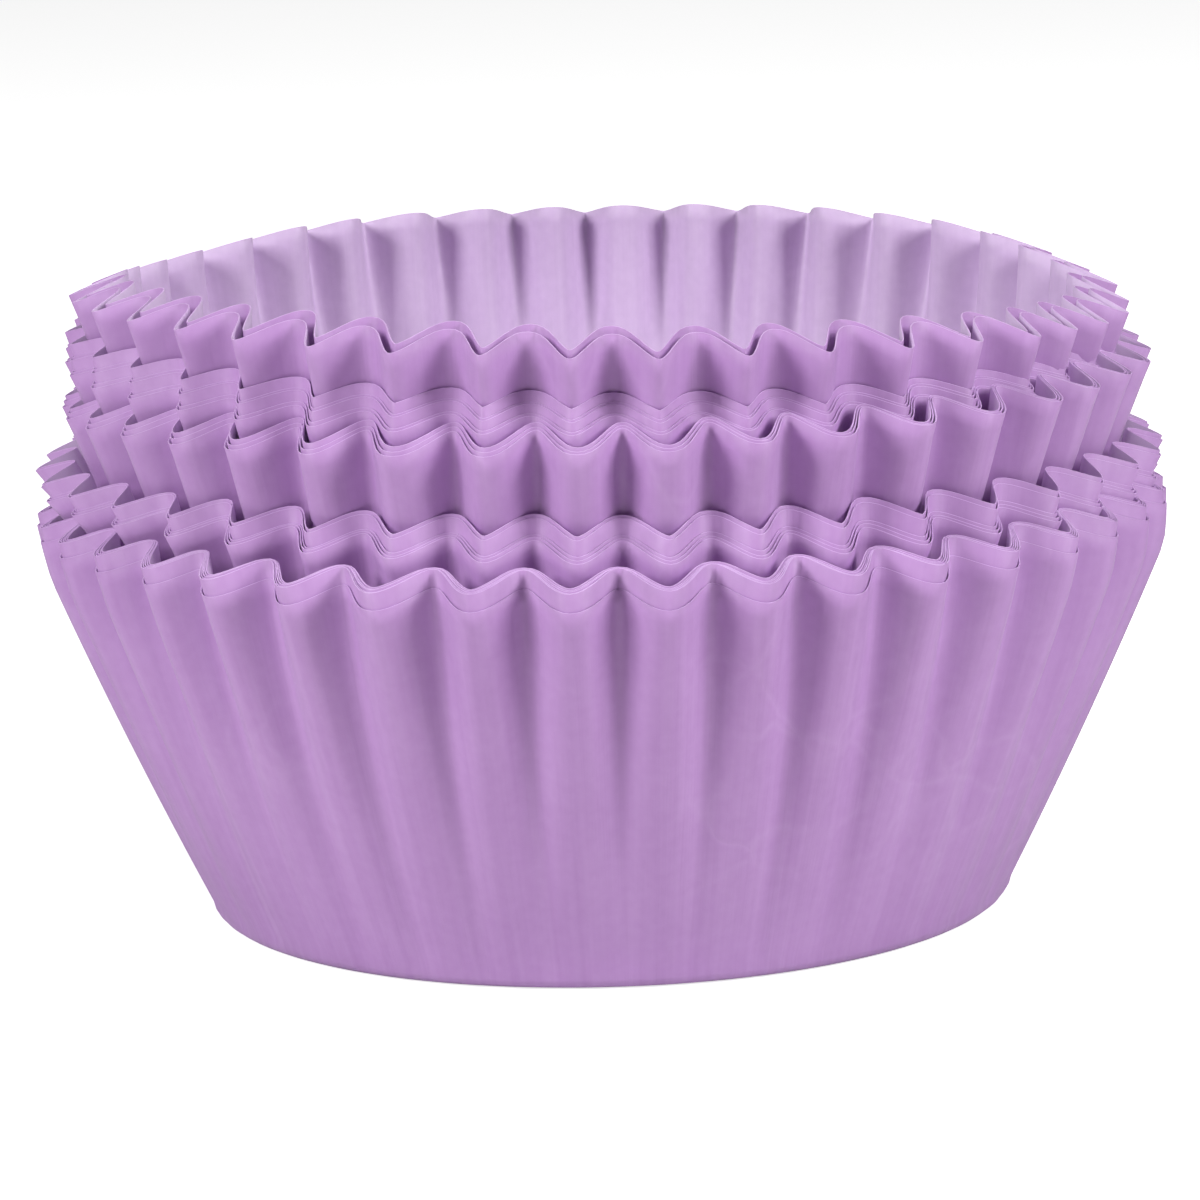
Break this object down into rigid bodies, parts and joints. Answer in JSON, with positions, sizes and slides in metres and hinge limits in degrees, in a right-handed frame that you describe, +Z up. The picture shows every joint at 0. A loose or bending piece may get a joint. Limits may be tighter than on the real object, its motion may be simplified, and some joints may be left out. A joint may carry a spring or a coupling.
{
  "type": "stack of cupcake liners",
  "caption": "Stack of fluted paper cupcake liners nested in one another, open at the top, standing on its flat base.",
  "frame": {"origin": "centre of the lowest liner's disc, on its underside", "axes": "+Z up out of the open liners, -Y towards the viewer, +X to the viewer's right"},
  "size_m": [0.0722, 0.0722, 0.0421],
  "materials": {
    "liner_paper": "satin"
  },
  "bodies": {
    "root": {"bottom_bundle_liner_1": "liner_paper", "bottom_bundle_liner_2": "liner_paper", "bottom_bundle_liner_3": "liner_paper", "bottom_bundle_liner_4": "liner_paper", "bottom_bundle_liner_5": "liner_paper", "bottom_bundle_liner_6": "liner_paper", "lower_bundle_liner_1": "liner_paper", "lower_bundle_liner_2": "liner_paper", "lower_bundle_liner_3": "liner_paper", "lower_bundle_liner_4": "liner_paper", "lower_bundle_liner_5": "liner_paper", "middle_bundle_liner_1": "liner_paper", "middle_bundle_liner_2": "liner_paper", "middle_bundle_liner_3": "liner_paper", "upper_bundle_liner_1": "liner_paper", "upper_bundle_liner_2": "liner_paper", "upper_bundle_liner_3": "liner_paper", "upper_bundle_liner_4": "liner_paper", "upper_bundle_liner_5": "liner_paper", "top_bundle_liner_1": "liner_paper", "top_bundle_liner_2": "liner_paper"}
  },
  "joints": []
}
